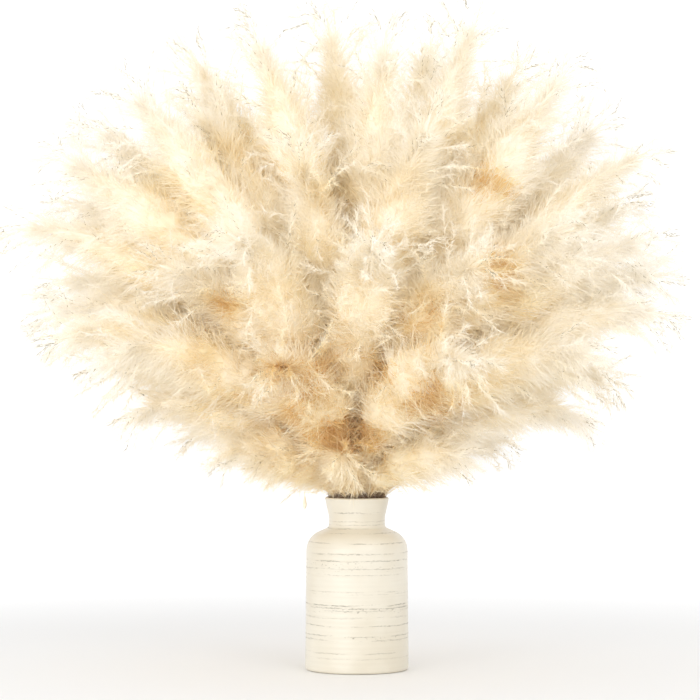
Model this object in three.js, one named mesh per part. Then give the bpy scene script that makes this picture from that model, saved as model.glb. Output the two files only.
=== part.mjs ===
// Bundle of pampas grass: dried plumes that stand, fanned out, in a bottle-necked ceramic vase.
// Millimetres. +Z is up, +X is right and +Y is away from the viewer.
// The origin is the centre of the vase's foot.
import * as THREE from 'three';

const up = new THREE.Vector3(0, 0, 1);
const goldenAngle = Math.PI * (3 - Math.sqrt(5));
const degrees = Math.PI / 180;

// ---- driving dimensions ----

const vase = {
  height: 200,
  bodyRadius: 60,
  shoulderRadius: 59, // the body narrows a little towards its shoulder
  footRadius: 57.5,
  footRound: 3,
  bodyTop: 138, // where the side ends and the shoulder begins
  shoulderRound: 24,
  shoulderTurn: 60 * degrees, // the arc's angle, from where the shoulder runs straight to the neck
  neckBase: 166,
  neckRadius: 32.6,
  neckTop: 177, // where the neck starts to flare
  lipRadius: 37.5,
  lipDepth: 3,
  wall: 4.5,
  floor: 6,
  sides: 36,
};

const stem = {
  radius: 1.5, // over its corners
  steps: 3, // along the bent stretch below the head
  bare: 13, // shortest bare stretch above the rim
  lift: 0.3, // clear of the vase's floor
  waist: 172, // height at which the stems are bunched closest
  waistRadius: 22.5, // of the circle that the stems fill there
  footSpread: 1.5, // the stems' circle on the floor, against the circle at the waist
  twist: 100 * degrees, // how far the bunch turns between floor and waist, as a spiralled bouquet
  free: 196, // height at which each stem starts to bend
  riseHandle: 0.3, // of the bend's curve, against its span, where the stem leaves the vase
  nodHandle: 0.33, // and where the head nods
};

const head = {
  coreRadius: 4.6, // the axis with its short hairs, along the feathered stretch
  steps: 13,
  turn: 33 * degrees, // of the axis' section from step to step, which winds the branches round it
  splay: [46 * degrees, 30 * degrees], // of the side branches from the axis, at the head's base and tip
  sag: 0.16, // how far gravity turns a branch
  folds: [1, 0.8, 0.62], // how much of its splay a branch keeps where a neighbour is near
  sizes: [1, 0.78, 0.55, 0.36], // and of its length
  turns: [0, 0.35, -0.35], // and how far it turns about the axis
};
const sides = 4; // of a stem's and an axis' section

// Room between plumes, and how they are bent clear of each other.
const clear = {
  gap: 0.35, // kept between neighbouring plumes
  ownGap: 0.02, // kept between a branch and its own plume, away from its root
  room: 2, // for branches, beside an axis
  slack: 0.15, // of the bend, which is measured on fewer points than the solids have
  rounds: 60,
  steps: 14, // of a curve while it is bent
  push: 0.6, // of what is lacking, each round
};

// ---- where the plumes go ----
// tip is the place of a plume's last hair, nod the angle from the vertical at which it ends,
// length the feathered stretch and reach how far its side branches stand out.

// The plumes that draw the outline, from the low left over the top to the low right.
const outlinePlumes = [
  { tip: [-157, -40, 252], nod: 112, length: 150, reach: 34 },
  { tip: [-196, 60, 268], nod: 118, length: 190, reach: 35 },
  { tip: [-258, -25, 278], nod: 158, length: 260, reach: 31 },
  { tip: [-318, 60, 350], nod: 108, length: 300, reach: 39 },
  { tip: [-346, -75, 380], nod: 112, length: 310, reach: 38 },
  { tip: [-371, 20, 404], nod: 122, length: 330, reach: 33 },
  { tip: [-366, 105, 448], nod: 100, length: 340, reach: 39 },
  { tip: [-404, -20, 511], nod: 93, length: 360, reach: 34 },
  { tip: [-352, 80, 548], nod: 78, length: 360, reach: 41 },
  { tip: [-352, -70, 600], nod: 62, length: 370, reach: 40 },
  { tip: [-318, 30, 640], nod: 54, length: 380, reach: 40 },
  { tip: [-268, -100, 676], nod: 44, length: 380, reach: 40 },
  { tip: [-200, 60, 730], nod: 30, length: 390, reach: 38 },
  { tip: [-122, -75, 744], nod: 26, length: 390, reach: 40 },
  { tip: [-36, 50, 768], nod: 16, length: 390, reach: 38 },
  { tip: [34, -90, 738], nod: 16, length: 380, reach: 38 },
  { tip: [93, 85, 752], nod: 20, length: 380, reach: 28 },
  { tip: [143, -30, 766], nod: 22, length: 390, reach: 34 },
  { tip: [196, 80, 716], nod: 30, length: 380, reach: 38 },
  { tip: [246, -80, 700], nod: 36, length: 380, reach: 38 },
  { tip: [296, 50, 646], nod: 46, length: 370, reach: 38 },
  { tip: [346, -15, 606], nod: 62, length: 360, reach: 26 },
  { tip: [332, 85, 548], nod: 66, length: 350, reach: 39 },
  { tip: [345, -70, 500], nod: 78, length: 340, reach: 38 },
  { tip: [368, 20, 458], nod: 92, length: 340, reach: 32 },
  { tip: [360, -50, 410], nod: 104, length: 320, reach: 34 },
  { tip: [306, 60, 326], nod: 128, length: 280, reach: 32 },
  { tip: [276, -20, 272], nod: 140, length: 250, reach: 22 },
  { tip: [172, 50, 260], nod: 112, length: 160, reach: 30 },
  { tip: [122, -60, 246], nod: 116, length: 130, reach: 32 },
];

// The plumes that lean to the viewer and away fill a flattened dome on the rim, row by row.
// lean is the angle of the row's chord from the vertical and fan the row's spread to either side.
const frontRows = [
  { count: 4, lean: 24, fan: 62, distance: 470, length: 350, reach: 41, nod: 36 },
  { count: 5, lean: 44, fan: 56, distance: 400, length: 320, reach: 41, nod: 76 },
  { count: 4, lean: 62, fan: 60, distance: 325, length: 270, reach: 39, nod: 112 },
];
const backRows = [
  { count: 4, lean: 27, fan: 60, distance: 480, length: 350, reach: 41, nod: 42 },
  { count: 3, lean: 46, fan: 46, distance: 410, length: 320, reach: 41, nod: 80 },
  { count: 3, lean: 64, fan: 56, distance: 325, length: 270, reach: 39, nod: 114 },
];
const depthScale = 0.86; // the dome is this much shallower than its rows' distances

// Short plumes that hang over the rim all round, lower on the left by twice leftward.
const collarRow = { count: 6, lean: 66, leftward: 9, distance: 124, length: 102, reach: 29, nod: 118 };

function domeRow(row, facing) {
  return Array.from({ length: row.count }, (_, i) => {
    const across = (i / (row.count - 1)) * 2 - 1 + 0.1 * Math.sin(5.1 * i + row.lean);
    const azimuth = facing * (90 + across * row.fan) * degrees;
    const distance = row.distance * (1 + 0.07 * Math.cos(2.4 * i + row.lean));
    const out = distance * Math.sin(row.lean * degrees);
    const height = vase.height + distance * Math.cos(row.lean * degrees);
    return { ...row, tip: [out * Math.cos(azimuth), out * Math.sin(azimuth) * depthScale, height] };
  });
}

function collar(row) {
  return Array.from({ length: row.count }, (_, i) => {
    const azimuth = ((i + 0.35) / row.count) * 2 * Math.PI;
    const lean = (row.lean - 9 * (i % 2) - row.leftward * Math.cos(azimuth)) * degrees;
    const out = row.distance * Math.sin(lean);
    const height = vase.height + row.distance * Math.cos(lean);
    return { ...row, tip: [out * Math.cos(azimuth), out * Math.sin(azimuth), height] };
  });
}

const plumes = [
  ...outlinePlumes,
  ...frontRows.flatMap((row) => domeRow(row, -1)),
  ...backRows.flatMap((row) => domeRow(row, 1)),
  ...collar(collarRow),
];

// ---- the stems' places in the neck ----
// The neck is filled like a sunflower head. A stem takes the place that matches the way it leans,
// found by swapping places while a swap brings the bunch nearer to that order, so that none cross.

function shoulderOf(plume) {
  const tip = new THREE.Vector3(...plume.tip);
  const chord = tip.clone().sub(new THREE.Vector3(0, 0, stem.free));
  const flat = Math.hypot(chord.x, chord.y);
  const end = new THREE.Vector3(
    (Math.sin(plume.nod * degrees) * chord.x) / flat,
    (Math.sin(plume.nod * degrees) * chord.y) / flat,
    Math.cos(plume.nod * degrees),
  );
  return tip.addScaledVector(end, -stem.nodHandle * chord.length());
}

function neckPlaces() {
  const places = plumes.map((_, i) => {
    const radius = stem.waistRadius * Math.sqrt((i + 0.5) / plumes.length);
    return new THREE.Vector2(radius * Math.cos(i * goldenAngle), radius * Math.sin(i * goldenAngle));
  });
  const leans = plumes.map((plume) => {
    const shoulder = shoulderOf(plume).sub(new THREE.Vector3(0, 0, stem.free));
    const azimuth = Math.atan2(shoulder.y, shoulder.x);
    const lean = shoulder.angleTo(up);
    return new THREE.Vector2(lean * Math.cos(azimuth), lean * Math.sin(azimuth));
  });
  let swapped = true;
  while (swapped) {
    swapped = false;
    for (let i = 0; i < plumes.length; i++) {
      for (let j = i + 1; j < plumes.length; j++) {
        const between = places[i].clone().sub(places[j]);
        const order = between.dot(leans[i].clone().sub(leans[j]));
        if (order < -1e-6) {
          [places[i], places[j]] = [places[j], places[i]];
          swapped = true;
        }
      }
    }
  }
  return places;
}

// ---- centre lines ----

function centreLine(plume, place) {
  const foot = place.clone().multiplyScalar(stem.footSpread).rotateAround(new THREE.Vector2(), stem.twist);
  const bottom = new THREE.Vector3(foot.x, foot.y, vase.floor + stem.lift);
  const waist = new THREE.Vector3(place.x, place.y, stem.waist);
  const rise = waist.clone().sub(bottom).normalize();
  const bend = waist.clone().addScaledVector(rise, (stem.free - stem.waist) / rise.z);
  const tip = new THREE.Vector3(...plume.tip);
  const span = tip.distanceTo(bend);
  const handle = bend.clone().addScaledVector(rise, stem.riseHandle * span);
  const arch = new THREE.CubicBezierCurve3(bend, handle, shoulderOf(plume), tip);
  const feathered = Math.min(plume.length / (1.05 * span), 0.95); // about the head's share of the curve
  return { bottom, bend, arch, feathered };
}

// Nearest points of two straight stretches: the shares s and t along them, and the vector between.
function nearest(a, b, c, d) {
  const u = b.clone().sub(a);
  const v = d.clone().sub(c);
  const w = a.clone().sub(c);
  const uu = u.dot(u);
  const uv = u.dot(v);
  const vv = v.dot(v);
  const clamp = (value) => Math.min(1, Math.max(0, value));
  const spread = uu * vv - uv * uv;
  let s = spread > 1e-9 ? clamp((uv * v.dot(w) - vv * u.dot(w)) / spread) : 0;
  const t = clamp((uv * s + v.dot(w)) / vv);
  s = clamp((uv * t - u.dot(w)) / uu);
  return { s, t, between: w.addScaledVector(u, s).addScaledVector(v, -t) };
}

// Where two bent curves come closest to touching: what is lacking there, and the shares along them.
function worstMeeting(lineI, pathI, lineJ, pathJ) {
  const headRadius = head.coreRadius + clear.room;
  const thickness = (line, share) => (share > 1 - line.feathered ? headRadius : stem.radius);
  const farthest = 2 * headRadius + clear.gap + clear.slack;
  let worst = null;
  for (let m = 0; m < clear.steps; m++) {
    const stepI = pathI[m].distanceTo(pathI[m + 1]);
    for (let n = 0; n < clear.steps; n++) {
      const stepJ = pathJ[n].distanceTo(pathJ[n + 1]);
      if (pathI[m].distanceTo(pathJ[n]) > stepI + stepJ + farthest) continue;
      const { s, t, between } = nearest(pathI[m], pathI[m + 1], pathJ[n], pathJ[n + 1]);
      const shareI = (m + s) / clear.steps;
      const shareJ = (n + t) / clear.steps;
      const need = thickness(lineI, shareI) + thickness(lineJ, shareJ) + clear.gap + clear.slack;
      const lack = need - between.length();
      if (lack > 0 && (!worst || lack > worst.lack)) worst = { lack, between, shareI, shareJ };
    }
  }
  return worst;
}

// Plumes that come too near each other are bent apart, a little at a time, by their curves' handles.
function bendClear(lines) {
  for (let round = 0; round < clear.rounds; round++) {
    const paths = lines.map((line) => line.arch.getPoints(clear.steps));
    for (let i = 0; i < lines.length; i++) {
      for (let j = i + 1; j < lines.length; j++) {
        const worst = worstMeeting(lines[i], paths[i], lines[j], paths[j]);
        if (!worst) continue;
        const push = worst.between.normalize().multiplyScalar(worst.lack * clear.push);
        bendBy(lines[i].arch, worst.shareI, push);
        bendBy(lines[j].arch, worst.shareJ, push.negate());
      }
    }
  }
}

// Shifts a curve's two handles so that its point at the share moves by the push.
function bendBy(arch, share, push) {
  const low = 3 * share * (1 - share) ** 2;
  const high = 3 * share * share * (1 - share);
  const size = Math.max(low * low + high * high, 0.02);
  arch.v1.addScaledVector(push, low / size);
  arch.v2.addScaledVector(push, high / size);
}

// ---- one plume's axis ----

// The rings of corners from the stem's foot to the head's last step, and the tip that closes it.
function axisOf(plume, { bottom, bend, arch }) {
  const length = arch.getLength();
  const feathered = Math.min(plume.length, length - stem.bare);
  const start = 1 - feathered / length; // share of the free stretch below the head
  const stemSteps = Math.min(stem.steps, Math.ceil((start * length) / stem.bare));
  const stations = [];
  for (let i = 1; i <= stemSteps; i++) stations.push({ share: (start * i) / stemSteps, along: 0 });
  for (let i = 1; i < head.steps; i++) {
    stations.push({ share: start + ((1 - start) * i) / head.steps, along: i / head.steps });
  }
  const straight = bend.clone().sub(bottom).normalize();
  const bending = arch.getTangentAt(0).add(straight).normalize();
  const centres = [bottom, bend, ...stations.map(({ share }) => arch.getPointAt(share))];
  const tangents = [straight, bending, ...stations.map(({ share }) => arch.getTangentAt(share))];
  const thickAt = ({ along }) => (along > 0 ? head.coreRadius * Math.min(1, 1.2 - along) : stem.radius);
  const radii = [stem.radius, stem.radius, ...stations.map(thickAt)];
  let side = new THREE.Vector3(1, 0, 0);
  const rings = centres.map((centre, i) => {
    const tangent = tangents[i];
    side = side.clone().addScaledVector(tangent, -side.dot(tangent)).normalize();
    const other = tangent.clone().cross(side);
    const twist = Math.max(0, i - stemSteps - 1) * head.turn;
    return Array.from({ length: sides }, (_, k) => {
      const turn = (k / sides) * 2 * Math.PI + twist;
      return centre
        .clone()
        .addScaledVector(side, radii[i] * Math.cos(turn))
        .addScaledVector(other, radii[i] * Math.sin(turn));
    });
  });
  const tip = new THREE.Vector3(...plume.tip);
  return { plume, centres, tangents, rings, headRing: stemSteps + 1, tip };
}

// ---- clearance ----

const middleOf = (points) =>
  points.reduce((sum, point) => sum.add(point), new THREE.Vector3()).divideScalar(points.length);

// A convex body {points, edges, normals, centre, half} for the separation test.
function convex(points, faces) {
  const edges = new Map();
  const normals = [];
  for (const face of faces) {
    const [a, b, c] = face.map((i) => points[i]);
    const normal = b.clone().sub(a).cross(c.clone().sub(a));
    if (normal.lengthSq() > 1e-9) normals.push(normal.normalize());
    face.forEach((from, k) => {
      const to = face[(k + 1) % face.length];
      edges.set(`${Math.min(from, to)}-${Math.max(from, to)}`, points[to].clone().sub(points[from]));
    });
  }
  const centre = middleOf(points);
  const half = Math.max(...points.map((point) => point.distanceTo(centre)));
  return { points, edges: [...edges.values()], normals, centre, half };
}

const spanAlong = (points, axis) => {
  let low = Infinity;
  let high = -Infinity;
  for (const point of points) {
    const value = point.dot(axis);
    low = Math.min(low, value);
    high = Math.max(high, value);
  }
  return [low, high];
};

// True if a plane keeps the two bodies apart by more than the gap.
function apart(a, b, gap) {
  if (a.centre.distanceTo(b.centre) > a.half + b.half + gap) return true;
  const separates = (axis) => {
    const [lowA, highA] = spanAlong(a.points, axis);
    const [lowB, highB] = spanAlong(b.points, axis);
    return lowA - highB > gap || lowB - highA > gap;
  };
  if (a.normals.some(separates) || b.normals.some(separates)) return true;
  return a.edges.some((edgeA) =>
    b.edges.some((edgeB) => {
      const axis = new THREE.Vector3().crossVectors(edgeA, edgeB);
      return axis.lengthSq() > 1e-6 && separates(axis.normalize());
    }),
  );
}

// Faces by their corners: a stretch between two rings, a branch on its facet, and a head's end.
const boxFaces = [
  [0, 1, 2, 3],
  [4, 5, 6, 7],
  [0, 1, 5, 4],
  [1, 2, 6, 5],
  [2, 3, 7, 6],
  [3, 0, 4, 7],
];
const branchFaces = [
  [0, 1, 2],
  [0, 1, 3],
  [1, 2, 3],
  [0, 2, 3],
];
const endFaces = [
  [0, 1, 2, 3],
  [0, 1, 4],
  [1, 2, 4],
  [2, 3, 4],
  [3, 0, 4],
];

// The three corners of a facet of the tube between two rings: two facets for each of its sides.
function facetCorners(rings, i, facet) {
  const k = Math.floor(facet / 2);
  const next = (k + 1) % sides;
  return facet % 2 === 0
    ? [rings[i][k], rings[i][next], rings[i + 1][next]]
    : [rings[i][k], rings[i + 1][next], rings[i + 1][k]];
}

const facetsOf = ({ rings }) =>
  rings.slice(1).flatMap((_, i) =>
    Array.from({ length: 2 * sides }, (_, facet) => convex(facetCorners(rings, i, facet), [[0, 1, 2]])),
  );

const segmentsOf = ({ rings, tip }) => [
  ...rings.slice(1).map((ring, i) => convex([...rings[i], ...ring], boxFaces)),
  convex([...rings[rings.length - 1], tip], endFaces),
];

// ---- side branches ----

// A branch is raised from a facet of the head's axis. One that would touch another plume is laid
// closer to the axis, shortened or turned, and left out where none of these clears it.
function branchesOf(axis, others) {
  const { plume, rings, centres, tangents, headRing } = axis;
  const skin = facetsOf(axis);
  const ends = new Map(); // a facet's key to its branch's end
  const bodies = [];

  function fits(body, corners) {
    const meets = (own) => own.points.some((point) => corners.includes(point));
    return (
      others.every((other) => apart(body, other, clear.gap)) &&
      skin.every((facet) => meets(facet) || apart(body, facet, clear.ownGap)) &&
      bodies.every((branch) => apart(body, branch, meets(branch) ? -1e-4 : clear.ownGap))
    );
  }

  function branchOn({ corners, root, out, ahead, splay, long }) {
    for (const fold of head.folds) {
      for (const size of head.sizes) {
        for (const turn of head.turns) {
          const direction = ahead
            .clone()
            .multiplyScalar(Math.cos(splay * fold))
            .addScaledVector(out.clone().applyAxisAngle(ahead, turn), Math.sin(splay * fold))
            .addScaledVector(up, -head.sag)
            .normalize();
          const end = root.clone().addScaledVector(direction, long * size);
          const body = convex([...corners, end], branchFaces);
          if (fits(body, corners)) return { body, end };
        }
      }
    }
    return null;
  }

  for (let i = headRing; i < rings.length - 1; i++) {
    const along = (i - headRing + 0.5) / head.steps;
    const ahead = tangents[i].clone().add(tangents[i + 1]).normalize();
    const middle = centres[i].clone().add(centres[i + 1]).multiplyScalar(0.5);
    const fullness = Math.min(1, 0.4 + along * 1.9) * (1 - 0.5 * along * along);
    const splay = THREE.MathUtils.lerp(...head.splay, along);
    for (let facet = 0; facet < 2 * sides; facet++) {
      if (facet % 2 === 1 && (facet + i * 2) % 4 !== 1) continue; // every other of the second facets
      const corners = facetCorners(rings, i, facet);
      const root = middleOf(corners);
      const out = root.clone().sub(middle);
      out.addScaledVector(ahead, -out.dot(ahead)).normalize();
      const wave = 0.86 + 0.14 * Math.cos(goldenAngle * (7 * i + 3 * facet));
      const long = (plume.reach * fullness * wave) / Math.sin(splay);
      const branch = branchOn({ corners, root, out, ahead, splay, long });
      if (branch) {
        ends.set(`${i}.${facet}`, branch.end);
        bodies.push(branch.body);
      }
    }
  }
  return { ends, bodies };
}

function plumeGeometry({ rings, tip }, ends) {
  const triangles = [];
  const last = rings.length - 1;
  for (let i = 0; i < last; i++) {
    for (let facet = 0; facet < 2 * sides; facet++) {
      const [a, b, c] = facetCorners(rings, i, facet);
      const end = ends.get(`${i}.${facet}`);
      if (end) triangles.push(a, b, end, b, c, end, c, a, end);
      else triangles.push(a, b, c);
    }
  }
  for (let k = 0; k < sides; k++) triangles.push(rings[last][k], rings[last][(k + 1) % sides], tip);
  for (let k = 1; k < sides - 1; k++) triangles.push(rings[0][0], rings[0][k + 1], rings[0][k]);
  return new THREE.BufferGeometry().setFromPoints(triangles);
}

// ---- the vase ----

function arc(cx, cz, radius, fromTurn, toTurn, steps = 4) {
  return Array.from({ length: steps + 1 }, (_, i) => {
    const turn = fromTurn + ((toTurn - fromTurn) * i) / steps;
    return new THREE.Vector2(cx + radius * Math.cos(turn), cz + radius * Math.sin(turn));
  });
}

// Half section from the foot's centre, out and up to the lip, and down inside to the floor's centre.
function vaseProfile() {
  const { height, wall, footRadius, bodyRadius, footRound, bodyTop, neckBase, neckRadius, neckTop } = vase;
  const { shoulderRadius, shoulderRound, shoulderTurn, lipRadius, lipDepth } = vase;
  const shoulder = (inset, fromTurn, toTurn) =>
    arc(shoulderRadius - shoulderRound, bodyTop, shoulderRound - inset, fromTurn, toTurn);
  const outer = [
    new THREE.Vector2(0, 0),
    new THREE.Vector2(footRadius, 0),
    new THREE.Vector2(bodyRadius, footRound),
    ...shoulder(0, 0, shoulderTurn),
    new THREE.Vector2(neckRadius + 1.5, neckBase - 1),
    new THREE.Vector2(neckRadius, neckBase + 2),
    new THREE.Vector2(neckRadius, neckTop),
    new THREE.Vector2(lipRadius - 1, height - lipDepth),
    new THREE.Vector2(lipRadius, height - lipDepth / 2),
    new THREE.Vector2(lipRadius - 1, height),
  ];
  const inner = [
    new THREE.Vector2(lipRadius - wall, height),
    new THREE.Vector2(neckRadius - wall, neckTop),
    new THREE.Vector2(neckRadius - wall, neckBase),
    ...shoulder(wall, shoulderTurn, 0),
    new THREE.Vector2(bodyRadius - wall, vase.floor),
    new THREE.Vector2(0, vase.floor),
  ];
  return [...outer, ...inner];
}

function vaseGeometry() {
  const geometry = new THREE.LatheGeometry(vaseProfile(), vase.sides);
  geometry.rotateX(Math.PI / 2); // the lathe turns about Y
  return geometry;
}

// ---- the bundle ----

const ceramic = new THREE.MeshStandardMaterial({ color: '#efe6d2', roughness: 0.45, metalness: 0 });
const dryGrass = { color: '#ecd9b4', roughness: 0.9, metalness: 0 };

const bundle = new THREE.Group();
const vaseMesh = new THREE.Mesh(vaseGeometry(), ceramic);
vaseMesh.name = 'vase';
bundle.add(vaseMesh);

const places = neckPlaces();
const lines = plumes.map((plume, i) => centreLine(plume, places[i]));
bendClear(lines);
const axes = lines.map((line, i) => axisOf(plumes[i], line));
const standing = axes.map(segmentsOf); // each plume's stretches, then its branches too
axes.forEach((axis, i) => {
  const others = standing.flatMap((bodies, j) => (j === i ? [] : bodies));
  const { ends, bodies } = branchesOf(axis, others);
  standing[i].push(...bodies);
  const mesh = new THREE.Mesh(plumeGeometry(axis, ends), new THREE.MeshStandardMaterial(dryGrass));
  mesh.name = `plume_${String(i + 1).padStart(2, '0')}`;
  bundle.add(mesh);
});

export default bundle;
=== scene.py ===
import math
import bpy
import numpy as np
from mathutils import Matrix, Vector


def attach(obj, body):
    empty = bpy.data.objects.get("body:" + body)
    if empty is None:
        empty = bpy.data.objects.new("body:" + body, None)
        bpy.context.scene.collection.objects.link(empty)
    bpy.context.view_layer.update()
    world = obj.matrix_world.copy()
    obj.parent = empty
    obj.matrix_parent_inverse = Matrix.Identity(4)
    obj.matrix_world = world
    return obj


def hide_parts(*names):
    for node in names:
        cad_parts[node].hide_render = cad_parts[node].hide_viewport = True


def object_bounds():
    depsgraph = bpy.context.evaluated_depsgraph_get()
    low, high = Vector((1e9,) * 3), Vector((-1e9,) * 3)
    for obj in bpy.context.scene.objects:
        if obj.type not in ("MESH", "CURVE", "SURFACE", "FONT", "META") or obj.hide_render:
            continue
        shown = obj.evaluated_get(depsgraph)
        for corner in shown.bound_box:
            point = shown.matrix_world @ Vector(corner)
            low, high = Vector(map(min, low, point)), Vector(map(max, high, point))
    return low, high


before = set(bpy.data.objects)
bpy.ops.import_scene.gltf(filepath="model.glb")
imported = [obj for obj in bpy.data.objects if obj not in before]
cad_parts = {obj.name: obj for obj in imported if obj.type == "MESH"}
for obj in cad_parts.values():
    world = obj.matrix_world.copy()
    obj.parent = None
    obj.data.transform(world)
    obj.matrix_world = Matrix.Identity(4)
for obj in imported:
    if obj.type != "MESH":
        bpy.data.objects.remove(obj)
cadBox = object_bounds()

mm = 0.001
goldenAngle = math.pi * (3 - math.sqrt(5))


def deselectAll():
    bpy.ops.object.select_all(action="DESELECT")


def ownPiece(piece, node):
    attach(piece, "root")
    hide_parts(node)


def linear(*screenColour):
    # a screen colour, 0 to 255, as the shaders read it
    shares = [c / 255 for c in screenColour]
    return tuple(c / 12.92 if c < 0.04045 else ((c + 0.055) / 1.055) ** 2.4 for c in shares)


# a wire is a socket that can be added, multiplied and so on
class Wire:
    def __init__(self, tree, socket):
        self.tree = tree
        self.socket = socket

    def maths(self, operation, *values):
        node = self.tree.nodes.new("ShaderNodeMath")
        node.operation = operation
        for slot, value in zip(node.inputs, values):
            plug(self.tree, slot, value)
        return Wire(self.tree, node.outputs[0])

    def __add__(self, other):
        return self.maths("ADD", self, other)

    def __radd__(self, other):
        return self.maths("ADD", other, self)

    def __sub__(self, other):
        return self.maths("SUBTRACT", self, other)

    def __rsub__(self, other):
        return self.maths("SUBTRACT", other, self)

    def __mul__(self, other):
        return self.maths("MULTIPLY", self, other)

    def __rmul__(self, other):
        return self.maths("MULTIPLY", other, self)

    def absolute(self):
        return self.maths("ABSOLUTE", self)

    def highest(self, other):
        return self.maths("MAXIMUM", self, other)

    def between(self, low, high, toLow=0.0, toHigh=1.0):
        node = self.tree.nodes.new("ShaderNodeMapRange")
        node.interpolation_type = "SMOOTHSTEP"
        for slot, value in zip(node.inputs[:5], (self, low, high, toLow, toHigh)):
            plug(self.tree, slot, value)
        return Wire(self.tree, node.outputs[0])


def plug(tree, slot, value):
    if isinstance(value, Wire):
        tree.links.new(value.socket, slot)
    else:
        slot.default_value = value


# the nodes of a material or of the world
class Shader:
    def __init__(self, owner, surface="Principled BSDF"):
        owner.use_nodes = True
        self.owner = owner
        self.tree = owner.node_tree
        self.surface = self.tree.nodes[surface]

    def node(self, kind, settings, values, output=0):
        made = self.tree.nodes.new(kind)
        for key, value in settings.items():
            if key == "stops":
                self.fillRamp(made.color_ramp, value)
            else:
                setattr(made, key, value)
        for key, value in values.items():
            plug(self.tree, made.inputs[key], value)
        return Wire(self.tree, made.outputs[output])

    def fillRamp(self, ramp, stops):
        while len(ramp.elements) < len(stops):
            ramp.elements.new(1.0)
        for element, (place, colour) in zip(ramp.elements, stops):
            element.position = place
            element.color = (*linear(*colour), 1.0)

    def mix(self, share, a, b):
        # colours that aren't wires are screen colours
        a, b = (c if isinstance(c, Wire) else (*linear(*c), 1.0) for c in (a, b))
        return self.node("ShaderNodeMix", {"data_type": "RGBA"}, {0: share, 6: a, 7: b}, 2)

    def noise(self, place, scale, detail, roughness=0.5):
        values = {"Vector": place, "Scale": scale, "Detail": detail, "Roughness": roughness}
        return self.node("ShaderNodeTexNoise", {}, values)

    def squash(self, place, upward):
        return self.node("ShaderNodeMapping", {}, {"Vector": place, "Scale": (1, 1, upward)})

    def axis(self, place, name):
        return self.node("ShaderNodeSeparateXYZ", {}, {0: place}, name)

    def set(self, **values):
        for key, value in values.items():
            plug(self.tree, self.surface.inputs[key.replace("_", " ")], value)


# studio: camera at the photo's angle, floor and light
studio = {
    "lens": 150.0,
    "distance": 3.392,
    "aim": (-0.0081, 0.371),  # right and up, of the picture's middle
    "farClip": 50,
    "bounces": 16,
    "softBounces": 12,
    "floorSize": 9.0,
    "floorDrop": 0.4 * mm,  # below the vase's foot
    "floorTone": (0.88, 0.88, 0.88, 1),
    "floorRoughness": 0.8,
    "floorFade": (0.5, 1.7),  # the floor's own shade ends between these distances
    "worldStrength": 1.15,
    "zenithStrength": 0.92,
    "zenithRise": (0.12, 0.9),  # the sky changes from one strength to the other between these
    "lightAim": (0, 0, 0.4),
    "keyLight": {"place": (1.5, -2.8, 2.0), "size": 1.5, "power": 15.0},
    "fillLight": {"place": (-1.8, -2.8, 0.5), "size": 2.4, "power": 41.0},
}


def aimLight(name):
    light = studio[name]
    bpy.ops.object.light_add(type="AREA", location=light["place"])
    lamp = bpy.context.object
    lamp.name = name
    lamp.data.shape = "DISK"
    lamp.data.size = light["size"]
    lamp.data.energy = light["power"]
    towards = Vector(studio["lightAim"]) - Vector(light["place"])
    lamp.rotation_euler = towards.to_track_quat("-Z", "Y").to_euler()


def makeSky(scene):
    scene.world = bpy.data.worlds.new("softbox")
    sky = Shader(scene.world, "Background")
    place = sky.node("ShaderNodeTexCoord", {}, {}, "Generated")
    above = sky.axis(place, "Z").between(*studio["zenithRise"])
    horizon, zenith = studio["worldStrength"], studio["zenithStrength"]
    sky.set(Color=(1, 1, 1, 1), Strength=horizon + above * (zenith - horizon))


def floorMaterial():
    paint = Shader(bpy.data.materials.new("paleFloor"))
    place = paint.node("ShaderNodeTexCoord", {}, {}, "Object")
    distance = paint.node("ShaderNodeVectorMath", {"operation": "LENGTH"}, {0: place}, "Value")
    fade = distance.between(*studio["floorFade"])
    glow = {"Color": (1, 1, 1, 1), "Strength": studio["worldStrength"]}
    white = paint.node("ShaderNodeEmission", {}, glow)
    paint.set(Base_Color=studio["floorTone"], Roughness=studio["floorRoughness"])
    painted = Wire(paint.tree, paint.surface.outputs[0])
    surface = paint.node("ShaderNodeMixShader", {}, {0: fade, 1: painted, 2: white})
    plug(paint.tree, paint.tree.nodes["Material Output"].inputs["Surface"], surface)
    return paint.owner


def makeStudio():
    scene = bpy.context.scene
    scene.view_settings.view_transform = "Standard"
    scene.cycles.max_bounces = studio["bounces"]
    scene.cycles.diffuse_bounces = studio["softBounces"]
    right, up = studio["aim"]
    bpy.ops.object.camera_add(location=(right, -studio["distance"], up), rotation=(math.pi / 2, 0, 0))
    scene.camera = bpy.context.object
    scene.camera.data.lens = studio["lens"]
    scene.camera.data.clip_end = studio["farClip"]
    makeSky(scene)
    aimLight("keyLight")
    aimLight("fillLight")
    deselectAll()
    bpy.ops.mesh.primitive_plane_add(size=studio["floorSize"], location=(0, 0, -studio["floorDrop"]))
    floor = bpy.context.object
    floor.name = "floor"
    floor.data.materials.append(floorMaterial())
    print("studio ready")


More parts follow.
